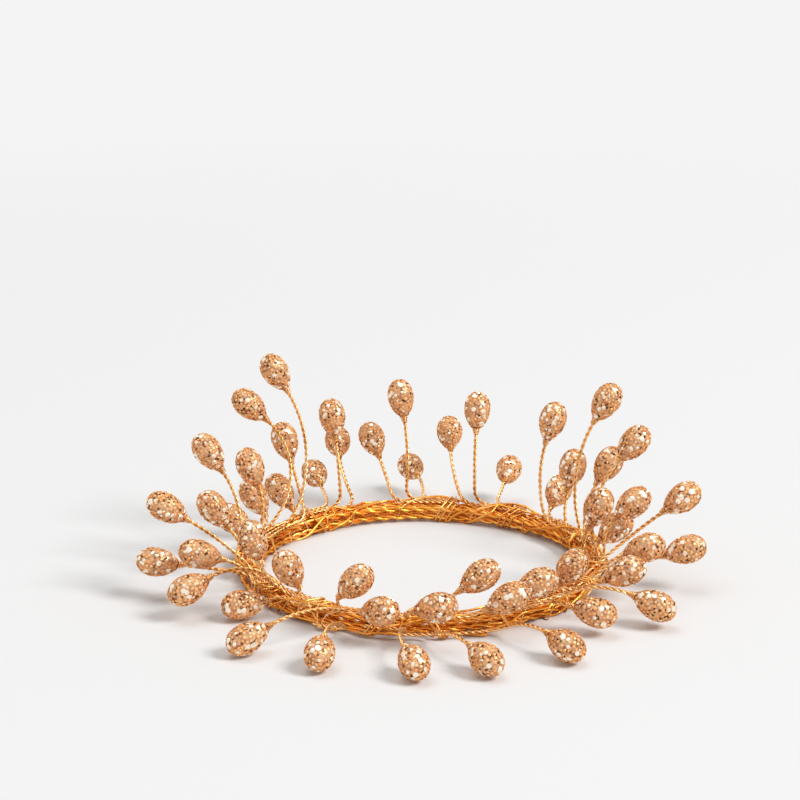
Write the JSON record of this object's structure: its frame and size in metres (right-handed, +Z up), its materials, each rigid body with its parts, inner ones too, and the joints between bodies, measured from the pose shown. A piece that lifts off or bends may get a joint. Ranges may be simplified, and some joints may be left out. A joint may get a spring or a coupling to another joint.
{
  "type": "candle ring",
  "caption": "Round wire wreath that lies about the foot of a pillar candle or its glass, with sprays of bent gold stems that end in glittered teardrop beads.",
  "frame": {"origin": "the middle of the candle opening, on the plane of the table", "axes": "+Z up out of the table, -Y to the front of the ring as pictured, +X to its right"},
  "size_m": [0.2078, 0.2201, 0.0726],
  "materials": {
    "coil_gold": "bright gold-coloured wire lay",
    "binding_gold": "bright gold-coloured wire",
    "stem_gold": "twisted gold-coloured wire",
    "bead_glitter": "translucent champagne plastic coated with glitter"
  },
  "bodies": {
    "root": {"ring_coil": "coil_gold", "binding_01": "binding_gold", "spray_01_stems": "stem_gold", "spray_01_beads": "bead_glitter", "binding_02": "binding_gold", "spray_02_stems": "stem_gold", "spray_02_beads": "bead_glitter", "binding_03": "binding_gold", "spray_03_stems": "stem_gold", "spray_03_beads": "bead_glitter", "binding_04": "binding_gold", "spray_04_stems": "stem_gold", "spray_04_beads": "bead_glitter", "binding_05": "binding_gold", "spray_05_stems": "stem_gold", "spray_05_beads": "bead_glitter", "binding_06": "binding_gold", "spray_06_stems": "stem_gold", "spray_06_beads": "bead_glitter", "binding_07": "binding_gold", "spray_07_stems": "stem_gold", "spray_07_beads": "bead_glitter", "binding_08": "binding_gold", "spray_08_stems": "stem_gold", "spray_08_beads": "bead_glitter", "binding_09": "binding_gold", "spray_09_stems": "stem_gold", "spray_09_beads": "bead_glitter", "binding_10": "binding_gold", "spray_10_stems": "stem_gold", "spray_10_beads": "bead_glitter", "binding_11": "binding_gold", "spray_11_stems": "stem_gold", "spray_11_beads": "bead_glitter", "binding_12": "binding_gold", "spray_12_stems": "stem_gold", "spray_12_beads": "bead_glitter", "binding_13": "binding_gold", "spray_13_stems": "stem_gold", "spray_13_beads": "bead_glitter", "binding_14": "binding_gold", "spray_14_stems": "stem_gold", "spray_14_beads": "bead_glitter"}
  },
  "joints": []
}
